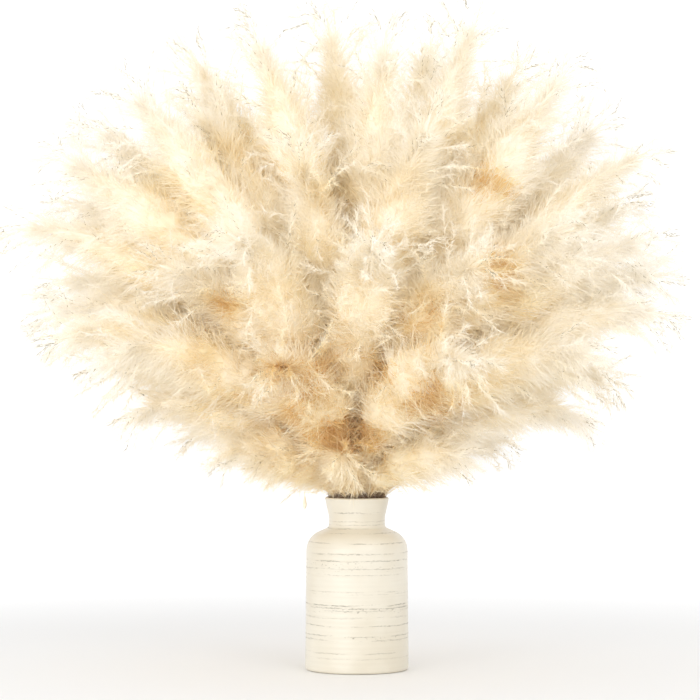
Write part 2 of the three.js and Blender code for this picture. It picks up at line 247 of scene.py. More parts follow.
# vase: thrown ceramic, turned from a disc up its outside and down its inside
vase = {
    "height": 200 * mm,
    "bodyRadius": 60 * mm,
    "shoulderRadius": 59 * mm,
    "footRadius": 57.5 * mm,
    "footRound": 3 * mm,
    "bodyTop": 138 * mm,
    "shoulderRound": 24 * mm,
    "shoulderTurn": math.radians(60),
    "neckBase": 166 * mm,
    "neckRadius": 32.6 * mm,
    "neckTop": 177 * mm,
    "neckEase": (2 * mm, 0.7 * mm),  # how far the cone's end and the neck's foot stand out
    "easeRise": (1.5 * mm, 2 * mm),  # how far below and above the neck's base they ease
    "lipRadius": 37.5 * mm,
    "lipEase": (0.4 * mm, 2.6 * mm),  # the flare ends this far inside and below the lip
    "wall": 4.5 * mm,
    "floor": 6 * mm,
    "floorRound": (2 * mm, 4 * mm),  # the inside corner, across and up
    "sides": 128,
    "ringPitch": 1.6 * mm,
    "ripple": 0.16 * mm,  # depth of the throwing rings
    "creaseAngle": math.radians(45),
}


def rippleAt(height):
    z = height / mm
    waves = 0.55 * math.sin(z * 1.07) + 0.3 * math.sin(z * 0.431 + 1) + 0.35 * math.sin(z * 1.93 + 2)
    return vase["ripple"] * waves


def stretch(start, end, rings=True):
    # points from start to end, a ring apart, with the throwing rings on them
    steps = max(1, round(math.dist(start, end) / vase["ringPitch"]))
    points = []
    for i in range(1, steps + 1):
        radius = start[0] + (end[0] - start[0]) * i / steps
        height = start[1] + (end[1] - start[1]) * i / steps
        points.append((radius + (rippleAt(height) if rings else 0), height))
    return points


def roundOf(centre, radius, fromTurn, toTurn, steps):
    turns = [fromTurn + (toTurn - fromTurn) * i / steps for i in range(1, steps + 1)]
    return [(centre[0] + radius * math.cos(t), centre[1] + radius * math.sin(t)) for t in turns]


def outsideOutline():
    v = vase
    footCentre = (v["bodyRadius"] - v["footRound"], v["footRound"])
    line = roundOf(footCentre, v["footRound"], -math.pi / 2, 0, 4)
    line += stretch(line[-1], (v["shoulderRadius"], v["bodyTop"]))
    shoulderCentre = (v["shoulderRadius"] - v["shoulderRound"], v["bodyTop"])
    line += roundOf(shoulderCentre, v["shoulderRound"], 0, v["shoulderTurn"], 14)
    line += stretch(line[-1], (v["neckRadius"] + v["neckEase"][0], v["neckBase"] - v["easeRise"][0]))
    line += [(v["neckRadius"] + v["neckEase"][1], v["neckBase"])]
    line += stretch((v["neckRadius"], v["neckBase"] + v["easeRise"][1]), (v["neckRadius"], v["neckTop"]))
    line += stretch(line[-1], (v["lipRadius"] - v["lipEase"][0], v["height"] - v["lipEase"][1]))
    lipCentre = (v["lipRadius"] - v["wall"] / 2, v["height"] - v["wall"] / 2)
    return line + roundOf(lipCentre, v["wall"] / 2, 0.1, math.pi, 9)


def insideOutline(lip):
    v = vase
    neck = v["neckRadius"] - v["wall"]
    body = v["bodyRadius"] - v["wall"]
    line = stretch(lip, (neck, v["neckTop"]), False)
    line += stretch(line[-1], (neck, v["neckBase"]), False)
    shoulderCentre = (v["shoulderRadius"] - v["shoulderRound"], v["bodyTop"])
    innerRound = v["shoulderRound"] - v["wall"]
    line += roundOf(shoulderCentre, innerRound, v["shoulderTurn"] * 8 / 7, 0, 8)
    across, up = v["floorRound"]
    return line + [(body, v["floor"] + up), (body - across, v["floor"])]


def throwVase():
    deselectAll()
    radius = vase["footRadius"]
    height = 0.0
    bpy.ops.mesh.primitive_circle_add(vertices=vase["sides"], radius=radius, fill_type="NGON")
    pot = bpy.context.object
    pot.name = "vaseBody"
    outside = outsideOutline()
    bpy.ops.object.mode_set(mode="EDIT")
    for nextRadius, nextHeight in outside + insideOutline(outside[-1]):
        bpy.ops.mesh.extrude_region_move(TRANSFORM_OT_translate={"value": (0, 0, nextHeight - height)})
        scale = nextRadius / radius
        bpy.ops.transform.resize(value=(scale, scale, 1), center_override=(0, 0, nextHeight))
        radius = nextRadius
        height = nextHeight
    bpy.ops.mesh.select_all(action="SELECT")
    bpy.ops.mesh.normals_make_consistent(inside=False)
    bpy.ops.object.mode_set(mode="OBJECT")
    bpy.ops.object.shade_smooth_by_angle(angle=vase["creaseAngle"])
    pot.data.materials.append(ceramicMaterial())
    ownPiece(pot, "vase")
    print("vase thrown:", len(pot.data.polygons), "faces")


glaze = {
    "ground": (226, 220, 205),
    "groundShade": (218, 210, 192),
    "haze": (202, 189, 165),
    "hazeStrength": 0.5,
    "mark": (116, 104, 84),
    "waver": 2.4,  # mm that a streak wanders up and down
    "fray": 2.2,  # mm that its edge frays
    "dotStrength": 0.7,
    "roughness": 0.34,
    "coat": 0.25,
    "coatRoughness": 0.25,
    "relief": 0.6 * mm,
}

# height in mm, strength and half width in mm of each brushed streak
streaks = [
    (183, 0.9, 0.55), (173, 0.5, 0.5), (169, 0.5, 0.45), (165, 0.6, 0.5), (160, 0.45, 0.5), (149, 0.65, 0.6),
    (137, 0.7, 0.8), (129, 0.9, 0.6), (120, 0.5, 0.7), (113, 0.4, 0.5), (94, 0.5, 0.9), (91, 0.35, 0.5),
    (78, 0.95, 0.8), (75, 0.85, 0.9), (72, 0.6, 0.6), (64, 0.4, 0.9), (54.5, 0.9, 0.6), (43, 0.7, 0.7),
    (38, 0.5, 0.8), (23, 0.45, 0.7), (17, 0.3, 0.5),
]

# height and half height in mm of the bands where the streaks break up into dots
speckledBands = [(122, 7), (74, 7), (40, 5)]


def brushMarks(paint, place, height):
    # 0 on the bare glaze, up to 1 where a streak is darkest
    squashed = paint.squash(place, 14)
    speckled = paint.squash(place, 2.2)
    broken = paint.noise(squashed, 22, 2, 0.6)
    dotted = paint.noise(squashed, 150, 3, 0.8)
    wavy = paint.noise(place, 55, 3)
    ragged = paint.noise(speckled, 420, 2)
    level = height + (wavy - 0.5) * glaze["waver"] + (ragged - 0.5) * glaze["fray"]
    marks = None
    for middle, strength, half in streaks:
        off = (level - middle).absolute()
        mark = off.between(half * 0.3, half * 1.5, strength, 0.0)
        marks = mark if marks is None else marks.highest(mark)
    marks = marks * broken.between(0.42, 0.56) * dotted.between(0.41, 0.58)
    dots = paint.noise(speckled, 330, 2).between(0.63, 0.7)
    for middle, reach in speckledBands:
        band = (height - middle).absolute().between(reach * 0.4, reach, glaze["dotStrength"], 0.0)
        marks = marks.highest(band * dots * broken.between(0.4, 0.55))
    return marks


def ceramicMaterial():
    paint = Shader(bpy.data.materials.new("creamCeramic"))
    place = paint.node("ShaderNodeTexCoord", {}, {}, "Object")
    height = paint.axis(place, "Z") * (1 / mm)
    marks = brushMarks(paint, place, height)
    fine = paint.noise(paint.squash(place, 60), 16, 5, 0.75)
    haze = fine.between(0.56, 0.78) * glaze["hazeStrength"]
    cloud = paint.noise(place, 14, 3).between(0.35, 0.7)
    ground = paint.mix(cloud, glaze["ground"], glaze["groundShade"])
    ground = paint.mix(haze, ground, glaze["haze"])
    relief = {"Height": fine * 0.6 - marks * 0.8, "Strength": 0.25, "Distance": glaze["relief"]}
    paint.set(
        Base_Color=paint.mix(marks, ground, glaze["mark"]),
        Roughness=glaze["roughness"] + marks * 0.25 + haze * 0.2,
        Coat_Weight=glaze["coat"],
        Coat_Roughness=glaze["coatRoughness"],
        Normal=paint.node("ShaderNodeBump", {}, relief),
    )
    return paint.owner


# plumes: where they go, as on the solids that carry them, in mm
stem = {
    "lift": 0.3,
    "waist": 172,
    "waistRadius": 22.5,
    "footSpread": 1.5,
    "twist": math.radians(100),
    "free": 196,
    "riseHandle": 0.3,
    "nodHandle": 0.33,
    "bare": 13,
    "points": 121,
}

# tip (mm), nod (degrees from the vertical at the tip), head length (mm), reach of its branches (mm)
outlinePlumes = [
    ((-157, -40, 252), 112, 150, 34), ((-196, 60, 268), 118, 190, 35), ((-258, -25, 278), 158, 260, 31),
    ((-318, 60, 350), 108, 300, 39), ((-346, -75, 380), 112, 310, 38), ((-371, 20, 404), 122, 330, 33),
    ((-366, 105, 448), 100, 340, 39), ((-404, -20, 511), 93, 360, 34), ((-352, 80, 548), 78, 360, 41),
    ((-352, -70, 600), 62, 370, 40), ((-318, 30, 640), 54, 380, 40), ((-268, -100, 676), 44, 380, 40),
    ((-200, 60, 730), 30, 390, 38), ((-122, -75, 744), 26, 390, 40), ((-36, 50, 768), 16, 390, 38),
    ((34, -90, 738), 16, 380, 38), ((93, 85, 752), 20, 380, 28), ((143, -30, 766), 22, 390, 34),
    ((196, 80, 716), 30, 380, 38), ((246, -80, 700), 36, 380, 38), ((296, 50, 646), 46, 370, 38),
    ((346, -15, 606), 62, 360, 26), ((332, 85, 548), 66, 350, 39), ((345, -70, 500), 78, 340, 38),
    ((368, 20, 458), 92, 340, 32), ((360, -50, 410), 104, 320, 34), ((306, 60, 326), 128, 280, 32),
    ((276, -20, 272), 140, 250, 22), ((172, 50, 260), 112, 160, 30), ((122, -60, 246), 116, 130, 32),
]

# facing, count, lean, fan, distance, head length, reach and nod of each row of the dome
domeRows = [
    (-1, 4, 24, 62, 470, 350, 41, 36), (-1, 5, 44, 56, 400, 320, 41, 76), (-1, 4, 62, 60, 325, 270, 39, 112),
    (1, 4, 27, 60, 480, 350, 41, 42), (1, 3, 46, 46, 410, 320, 41, 80), (1, 3, 64, 56, 325, 270, 39, 114),
]
depthScale = 0.86
collar = {"count": 6, "lean": 66, "leftward": 9, "distance": 124, "length": 102, "reach": 29, "nod": 118}
furShare = {"outline": 0.94, "front": 1.3, "back": 0.9, "collar": 1.2}  # of the full number of fur hairs


def plumePlan(tip, nod, length, reach, fur):
    return dict(tip=tip, nod=nod, length=length, reach=reach, fur=furShare[fur])


def plumePlans():
    plans = [plumePlan(*row, "outline") for row in outlinePlumes]
    rim = vase["height"] / mm
    for facing, count, lean, fan, distance, length, reach, nod in domeRows:
        for i in range(count):
            across = i / (count - 1) * 2 - 1 + 0.1 * math.sin(5.1 * i + lean)
            azimuth = math.radians(facing * (90 + across * fan))
            far = distance * (1 + 0.07 * math.cos(2.4 * i + lean))
            out = far * math.sin(math.radians(lean))
            height = rim + far * math.cos(math.radians(lean))
            tip = (out * math.cos(azimuth), out * math.sin(azimuth) * depthScale, height)
            plans.append(plumePlan(tip, nod, length, reach, "front" if facing < 0 else "back"))
    for i in range(collar["count"]):
        azimuth = (i + 0.35) / collar["count"] * 2 * math.pi
        lean = math.radians(collar["lean"] - 9 * (i % 2) - collar["leftward"] * math.cos(azimuth))
        out = collar["distance"] * math.sin(lean)
        tip = (out * math.cos(azimuth), out * math.sin(azimuth), rim + collar["distance"] * math.cos(lean))
        plans.append(plumePlan(tip, collar["nod"], collar["length"], collar["reach"], "collar"))
    return plans


def shoulderOf(plan):
    tip = Vector(plan["tip"])
    chord = tip - Vector((0, 0, stem["free"]))
    flat = math.hypot(chord.x, chord.y)
    nod = math.radians(plan["nod"])
    end = Vector((math.sin(nod) * chord.x / flat, math.sin(nod) * chord.y / flat, math.cos(nod)))
    return tip - end * stem["nodHandle"] * chord.length


def leanOf(plan):
    shoulder = shoulderOf(plan) - Vector((0, 0, stem["free"]))
    azimuth = math.atan2(shoulder.y, shoulder.x)
    lean = math.atan2(math.hypot(shoulder.x, shoulder.y), shoulder.z)
    return lean * math.cos(azimuth), lean * math.sin(azimuth)


def neckPlaces(plans):
    # a sunflower pattern in the neck, swapped until no two stems cross
    places = []
    for i in range(len(plans)):
        radius = stem["waistRadius"] * math.sqrt((i + 0.5) / len(plans))
        places.append((radius * math.cos(i * goldenAngle), radius * math.sin(i * goldenAngle)))
    leans = [leanOf(plan) for plan in plans]
    swapped = True
    while swapped:
        swapped = False
        for i in range(len(plans)):
            for j in range(i + 1, len(plans)):
                order = ((places[i][0] - places[j][0]) * (leans[i][0] - leans[j][0])
                         + (places[i][1] - places[j][1]) * (leans[i][1] - leans[j][1]))
                if order < -1e-6:
                    places[i], places[j] = places[j], places[i]
                    swapped = True
    return places


def centreLine(plan, place):
    # the stem's foot and the points of the arch above the vase, in metres
    x, y = (c * stem["footSpread"] for c in place)
    cos, sin = math.cos(stem["twist"]), math.sin(stem["twist"])
    bottom = Vector((x * cos - y * sin, x * sin + y * cos, vase["floor"] / mm + stem["lift"]))
    waist = Vector((*place, stem["waist"]))
    rise = (waist - bottom).normalized()
    bend = waist + rise * ((stem["free"] - stem["waist"]) / rise.z)
    tip = Vector(plan["tip"])
    handle = bend + rise * stem["riseHandle"] * (tip - bend).length
    shoulder = shoulderOf(plan)
    t = np.linspace(0, 1, stem["points"])[:, None]
    arch = ((1 - t) ** 3 * np.array(bend) + 3 * t * (1 - t) ** 2 * np.array(handle)
            + 3 * t * t * (1 - t) * np.array(shoulder) + t ** 3 * np.array(tip))
    return np.array(bottom) * mm, arch * mm


# directions and curves, as rows of numbers
downward = np.array([0, 0, -1.0])
flatPart = np.array([1, 1, 0])  # keeps a direction's part along the ground
offAxis = [0.13, 0.21, 0.97]  # no stem runs this way


def unit(v):
    return v / np.maximum(np.linalg.norm(v, axis=-1, keepdims=True), 1e-12)


def along(points, share):
    # points and directions at shares of a curve's length
    steps = np.linalg.norm(np.diff(points, axis=0), axis=1)
    run = np.concatenate([[0], np.cumsum(steps)]) / steps.sum()
    place = np.stack([np.interp(share, run, points[:, k]) for k in range(3)], -1)
    slope = unit(np.gradient(points, axis=0))
    heading = unit(np.stack([np.interp(share, run, slope[:, k]) for k in range(3)], -1))
    return place, heading


def squareTo(heading):
    # two directions square to each heading and to each other
    side = unit(np.cross(heading, offAxis))
    return side, np.cross(heading, side)


def crossways(heading, rng):
    # a random direction square to each heading
    loose = rng.normal(size=heading.shape)
    return unit(loose - (loose * heading).sum(-1, keepdims=True) * heading)


def splayed(heading, degrees, rng):
    # turned away from each heading by an angle, to a random side
    spread = np.radians(degrees)[:, None]
    return heading * np.cos(spread) + crossways(heading, rng) * np.sin(spread)


needle = {
    "corners": (0, 2.0944, 4.18879),  # a third of a turn apart
    "faces": [[0, 2, 1], [0, 1, 3], [1, 2, 3], [2, 0, 3]],
    "rootU": 0.02,
    "tipU": 0.98,
    "halfV": 0.004,
}


# gathers the vertices, faces and UVs of one plume: u runs from root to tip, v is the tone
class Bunch:
    def __init__(self):
        self.vertices = []
        self.faces = []
        self.uvs = []
        self.smooth = []
        self.count = 0

    def add(self, vertices, faces, uvs, smooth):
        self.vertices.append(vertices)
        self.faces.append(faces + self.count)
        self.uvs.append(uvs)
        self.smooth.append(np.full(len(faces), smooth))
        self.count += len(vertices)

    def spikes(self, root, tip, thick, tones, rng):
        # closed three-sided needles
        heading = unit(tip - root)
        side = crossways(heading, rng)
        other = np.cross(heading, side)
        n = len(root)
        thick = np.broadcast_to(np.asarray(thick, float), (n,))[:, None]
        corners = [root + thick * (side * math.cos(a) + other * math.sin(a)) for a in needle["corners"]]
        block = np.stack(corners + [tip], 1).reshape(-1, 3)
        faces = (4 * np.arange(n)[:, None, None] + np.array(needle["faces"])[None]).reshape(-1, 3)
        low, high, edge = needle["rootU"], needle["tipU"], needle["halfV"]
        rootUv = [[low, -edge], [low + 0.01, edge], [low, edge]]
        wallUv = [[low, -edge], [low, edge], [high, 0]]
        uv = np.broadcast_to(np.array([rootUv] + [wallUv] * 3)[None], (n, 4, 3, 2)).copy()
        uv[..., 1] += np.clip(tones, 0.01, 0.99)[:, None, None]
        self.add(block, faces, uv.reshape(-1, 2), False)

    def tube(self, points, radii, tones):
        # one closed tube: a radius and a tone for each side of each ring
        side, other = squareTo(unit(np.gradient(points, axis=0)))
        rings, sides = radii.shape
        turns = np.arange(sides) / sides * 2 * math.pi
        ring = side[:, None] * np.cos(turns)[None, :, None] + other[:, None] * np.sin(turns)[None, :, None]
        block = (points[:, None] + ring * radii[:, :, None]).reshape(-1, 3)
        i, k = (g.ravel() for g in np.meshgrid(np.arange(rings - 1), np.arange(sides), indexing="ij"))
        a, b = i * sides + k, i * sides + (k + 1) % sides
        walls = np.stack([a, b, b + sides, a, b + sides, a + sides], 1).reshape(-1, 3)
        u, v = 0.02 + 0.5 * i / rings, np.clip(tones[i, k], 0.01, 0.99)
        uvs = np.stack([u, v, u, v + 0.005, u + 0.01, v + 0.005, u, v, u + 0.01, v + 0.005, u + 0.01, v], 1)
        last = (rings - 1) * sides
        ends = [f for k in range(1, sides - 1) for f in ((0, k + 1, k), (last, last + k, last + k + 1))]
        first = tones[0, 0]
        endUvs = np.tile([[0.02, first], [0.03, first + 0.005], [0.02, first + 0.005]], (len(ends), 1))
        faces = np.concatenate([walls, np.array(ends)])
        self.add(block, faces, np.concatenate([uvs.reshape(-1, 2), endUvs]), True)

    def mesh(self, name):
        vertices = np.concatenate(self.vertices).astype(np.float32)
        faces = np.concatenate(self.faces).astype(np.int32)
        uvs = np.concatenate(self.uvs).astype(np.float32)
        data = bpy.data.meshes.new(name)
        data.vertices.add(len(vertices))
        data.vertices.foreach_set("co", vertices.ravel())
        data.loops.add(faces.size)
        data.loops.foreach_set("vertex_index", faces.ravel())
        data.polygons.add(len(faces))
        data.polygons.foreach_set("loop_start", np.arange(0, faces.size, 3, dtype=np.int32))
        data.uv_layers.new(name="OFBake").data.foreach_set("uv", uvs.ravel())
        data.polygons.foreach_set("use_smooth", np.concatenate(self.smooth))
        data.update()
        data.validate()
        return data


# tones: the share of the way up the colour map that a part of the plume takes its colour from
tone = {"hair": (0.06, 0.70), "stem": 0.80, "sheathAndMouthShade": 0.87, "husk": 0.95, "seedHead": 0.3}

# x and z (mm), spread (mm) and strength of the painted shade: tan patches in the hollows between the heads,
# where shade falls
paintedShadeHollows = [
    (-148, 612, 26, 0.3), (-62, 582, 26, 0.25), (-31, 557, 22, 0.28), (-229, 567, 22, 0.28),
    (-200, 535, 22, 0.22), (-40, 495, 30, 0.2), (-159, 424, 20, 0.42), (-184, 370, 24, 0.22),
    (-88, 348, 24, 0.5), (-28, 368, 16, 0.35), (29, 354, 15, 0.4), (85, 402, 20, 0.38),
    (88, 314, 24, 0.5), (143, 322, 26, 0.25), (-16, 278, 22, 0.55), (21, 268, 12, 0.4),
    (-84, 298, 15, 0.35), (152, 566, 17, 0.42), (166, 464, 20, 0.4), (186, 430, 26, 0.25),
    (126, 625, 28, 0.2), (73, 430, 26, 0.2), (-255, 470, 18, 0.25), (-168, 318, 20, 0.25),
    (-60, 450, 110, 0.07), (85, 420, 110, 0.07), (-20, 550, 120, 0.05),
]


def hairTone(light):
    return np.interp(light, [0, 1], tone["hair"])


def paintedHollowShade(places):
    # painted shade: darker, tanner hair in the hollows between the heads
    depth = np.zeros(len(places))
    for x, z, spread, strength in paintedShadeHollows:
        flat, deep = (1.7, 1.4) if spread < 50 else (1.1, 1.15)  # small hollows are flatter and deeper
        off = np.hypot((places[:, 0] - x * mm) / 0.95, (places[:, 2] - z * mm) * flat)
        depth = np.maximum(depth, deep * strength * np.exp(-0.5 * (off / (spread * mm)) ** 2))
    return depth


def whiteEdge(places):
    # the heads that hang low, and those far to the sides, end in whiter hair
    sideways = np.abs(places[:, 0] + 0.02)
    low = np.clip((0.33 - places[:, 2]) / 0.12, 0, 1)
    low = low * np.clip((sideways - 0.06) / 0.10, 0, 1) * 0.5
    return np.maximum(low, 0.12 * np.clip((sideways - 0.18) / 0.12, 0, 1))


headForm = {
    "fullLength": 0.34,  # m: a head this long has all of its hairs
    "fullReach": 40,  # mm
    "shortLength": 0.12,  # m: shorter heads hang over the rim
    "bodyShare": 0.69,  # of the reach: the dense middle of a head
    "shortBody": 0.4,  # of that, in a short head
    "bodyPlaces": [0, 0.1, 0.4, 0.6, 0.73, 0.85, 1],
    "bodyShape": [0.05, 0.7, 1.15, 0.98, 0.5, 0.12, 0.02],
    "lobes": 0.2,
    "lightHeights": [0.10, 0.25, 0.40, 0.55],  # m along the stem
    "lightness": [0.28, 0.47, 0.55, 0.59],
    "paintedTuftShade": 0.08,
    "tipLight": 0.14,
    "unevenLight": 0.04,
    "behind": 40,  # mm: heads whose tips are farther back than this get painted shade, darker and warmer, as they lie behind others
    "behindShade": 0.08,
    "looseHair": 0.03,  # how much the hairs' lightness varies
    "proud": np.array([14, 12, 10]) * mm,  # how far the softest hairs may stand past the solids' box
}


def fullAt(up):
    # how full a head is: thin at its foot, and fullest towards its tip
    return np.minimum(1, 0.45 + up * 1.9) * (1 + 0.15 * np.clip((up - 0.4) / 0.3, 0, 1))


def keepNear(tips):
    return np.clip(tips, np.array(cadBox[0]) - headForm["proud"], np.array(cadBox[1]) + headForm["proud"])


# one plume: its curve, the form of its head, and the bunch that its parts are added to
class Plume:
    def __init__(self, index, plan, place):
        self.rng = np.random.default_rng(4100 + index)
        self.plan = plan
        self.place = place
        self.bottom, self.arch = centreLine(plan, place)
        self.total = np.linalg.norm(np.diff(self.arch, axis=0), axis=1).sum()
        self.feathered = min(plan["length"] * mm, self.total - stem["bare"] * mm)
        self.start = 1 - self.feathered / self.total
        self.reach = plan["reach"] * mm
        self.isShort = self.feathered < headForm["shortLength"]
        self.lengthShare = min(1.0, self.feathered / headForm["fullLength"])
        self.phase = self.rng.uniform(0, 6.28, 3)
        # shade holds a random tone for each head, plus painted shade for the heads behind others
        self.shade = self.rng.normal(0, headForm["unevenLight"])
        if plan["tip"][1] > headForm["behind"]:
            self.shade -= headForm["behindShade"]
        self.bunch = Bunch()

    def spikes(self, root, tip, thick, tones):
        self.bunch.spikes(root, tip, thick, tones, self.rng)

    def lobed(self, up, turn):
        # soft tufts round and along a head, from -1 to 1
        first, second, third = self.phase
        return (0.65 * np.sin(24 * up + first + 1.6 * np.sin(turn + second))
                + 0.35 * np.sin(46 * up + second + 1.9 * np.sin(3 * turn + third))
                * np.cos(4 * turn + first + 2.5 * np.sin(17 * up + third)))

    def bodyAt(self, up, turn):
        ends = np.interp(up, headForm["bodyPlaces"], headForm["bodyShape"])
        share = headForm["bodyShare"] * (headForm["shortBody"] if self.isShort else 1)
        return self.reach * share * fullAt(up) * ends * (1 + headForm["lobes"] * self.lobed(up, turn))

    # lighter up the stem and towards the tip, with painted shade and highlight: darker in the hollows
    # between the tufts, lighter on their crests
    def lightAt(self, up, turn):
        height = (self.start + (1 - self.start) * up) * self.total
        light = np.interp(height, headForm["lightHeights"], headForm["lightness"])
        tips = np.clip((up - 0.7) / 0.3, 0, 1)
        return light + headForm["paintedTuftShade"] * self.lobed(up, turn) + headForm["tipLight"] * tips


stalkForm = {
    "radius": 0.9 * mm,
    "endShare": 0.8,  # of the radius, where it ends in the head
    "sides": 6,
    "rings": 12,
    "intoHead": 0.03,  # of the arch's length
}


def growStalk(plume):
    form = stalkForm
    low, _ = along(plume.arch, np.linspace(0, plume.start + form["intoHead"], form["rings"]))
    thick = form["radius"] * np.linspace(1, form["endShare"], form["rings"] + 1)
    radii = np.tile(thick[:, None], (1, form["sides"]))
    plume.bunch.tube(np.vstack([plume.bottom, low]), radii, np.full(radii.shape, tone["stem"]))


bodyForm = {
    "rings": 64,
    "sides": 14,
    "end": 0.985,  # of the head's length
    "uneven": 0.02,
    "thinnest": 0.3 * mm,
    "shade": 0.09,
}


def growBody(plume):
    # the dense middle of the head
    rings = np.linspace(0, bodyForm["end"], bodyForm["rings"])[:, None]
    turns = (np.arange(bodyForm["sides"]) / bodyForm["sides"] * 2 * math.pi)[None]
    high, _ = along(plume.arch, plume.start + (1 - plume.start) * rings[:, 0])
    radii = plume.bodyAt(rings, turns)
    radii = radii * (1 + bodyForm["uneven"] * plume.rng.normal(size=radii.shape))
    radii = np.maximum(radii, bodyForm["thinnest"])
    middle = np.repeat(high, radii.shape[1], 0)
    # whiter hair at the low and far edges, and painted shade in the hollows between the heads
    whiteEdgesAndHollowShade = (whiteEdge(middle) - paintedHollowShade(middle)).reshape(radii.shape)
    light = plume.lightAt(rings, turns) + plume.shade - bodyForm["shade"] + whiteEdgesAndHollowShade
    plume.bunch.tube(high, radii, hairTone(light))


furForm = {
    "hairs": 4400,
    "hair": (0.017, 0.037),
    "thick": 0.98 * mm,
    "sink": 0.95,  # of the body's radius: where the fur starts
    "end": 0.91,  # of the head's length
    "sizePlaces": [0, 0.2, 0.6, 0.8, 1],
    "sizes": [0.8, 1.25, 1.2, 1, 1.08],
    "forward": 0.8,
    "outward": (0.12, 0.85),
    "loose": 0.3,
    "droop": 0.15,
    "swirl": 0.35,
}


def growFur(plume):
    # short hair all over the body, swept towards the tip
    rng = plume.rng
    reachShare = 0.45 + 0.55 * plume.plan["reach"] / headForm["fullReach"]
    count = int(furForm["hairs"] * plume.plan["fur"] * plume.lengthShare * reachShare)
    up = rng.uniform(0, 1, count) ** 0.8 * furForm["end"]
    turn = rng.uniform(0, 2 * math.pi, count)
    middle, heading = along(plume.arch, plume.start + (1 - plume.start) * up)
    side, other = squareTo(heading)
    radial = side * np.cos(turn)[:, None] + other * np.sin(turn)[:, None]
    base = middle + radial * (plume.bodyAt(up, turn) * furForm["sink"])[:, None]
    wave = np.sin(31 * up + 2 * np.sin(2 * turn + plume.phase[0]) + plume.phase[1])[:, None]
    aim = (heading * furForm["forward"] + radial * rng.uniform(*furForm["outward"], (count, 1))
           + np.cross(heading, radial) * (wave * furForm["swirl"])
           + rng.normal(0, furForm["loose"], (count, 3)) + downward * furForm["droop"])
    if plume.isShort:
        aim = aim + downward * rng.uniform(0, 0.7, (count, 1)) - [0.25, 0, 0]
    size = rng.uniform(*furForm["hair"], (count, 1))
    size = size * np.interp(up, furForm["sizePlaces"], furForm["sizes"])[:, None]
    tips = keepNear(base + unit(aim) * size)
    light = plume.lightAt(up, turn) + rng.normal(0, headForm["looseHair"], count) + plume.shade
    tones = hairTone(light + whiteEdge(tips) - paintedHollowShade(tips))
    thick = furForm["thick"] / 2 * rng.uniform(0.7, 1.3, count) * np.interp(up, [0.6, 1], [1, 0.6])
    plume.spikes(base, tips, thick, tones)


branchForm = {
    "every": 3.2 * mm,
    "steps": 9,
    "thick": 0.38 * mm,
    "places": [0, 0.5, 1],  # up the head, for the two angles below
    "splay": [66, 58, 36],
    "reachAngle": [42, 36, 32],  # a branch's length is its reach over this angle's sine
    "past": 0.03,  # m that a branch may run past the head's end
    "droop": (0.02, 0.09),
    "comb": 0.05,  # how strongly a branch turns to run with its plume
    "curl": 0.06,
    "wobble": 0.05,
}


def growBranches(plume):
    # side branches up the head; returns their curves, place up the head, turn and length
    form = branchForm
    rng = plume.rng
    count = int(plume.feathered / form["every"])
    up = (np.arange(count) + 0.5) / count
    root, heading = along(plume.arch, plume.start + (1 - plume.start) * up * bodyForm["end"])
    turn = np.arange(count) * goldenAngle + rng.normal(0, 0.35, count)
    side, other = squareTo(heading)
    out = side * np.cos(turn)[:, None] + other * np.sin(turn)[:, None]
    splay = np.radians(np.interp(up, form["places"], form["splay"])) * rng.uniform(0.3, 1.25, count)
    reachAngle = np.radians(np.interp(up, form["places"], form["reachAngle"]))
    length = plume.reach * fullAt(up) / np.sin(reachAngle) * rng.uniform(0.65, 1.3, count)
    length = np.minimum(length, (1 - up) * plume.feathered + form["past"])
    direction = heading * np.cos(splay)[:, None] + out * np.sin(splay)[:, None]
    droop = rng.uniform(*form["droop"], (count, 1))
    curl = rng.normal(0, form["curl"], (count, 3)) + form["comb"] * heading
    steps = form["steps"]
    curves = [root]
    for k in range(steps):
        direction = unit(direction + downward * droop + curl + rng.normal(0, form["wobble"], (count, 3)))
        curves.append(curves[-1] + direction * (length / steps)[:, None])
    curves = np.stack(curves, 1)
    for k in range(0, steps, 3):
        tones = hairTone(0.34 * (plume.start + (1 - plume.start) * up) + 0.04 * k)
        plume.spikes(curves[:, k], curves[:, min(k + 4, steps)], form["thick"] * (1 - 0.2 * k / 3), tones)
    return curves, up, turn, length


hairForm = {
    "hairs": 3300,
    "thick": 0.56 * mm,
    "shortShare": 0.4,
    "shortHair": (0.006, 0.014),
    "longHair": (0.012, 0.030),
    "shortSpread": (30, 85),
    "longSpread": (10, 62),
    "droop": 0.12,
    "shade": 0.04,
    "tipLight": 0.05,
}


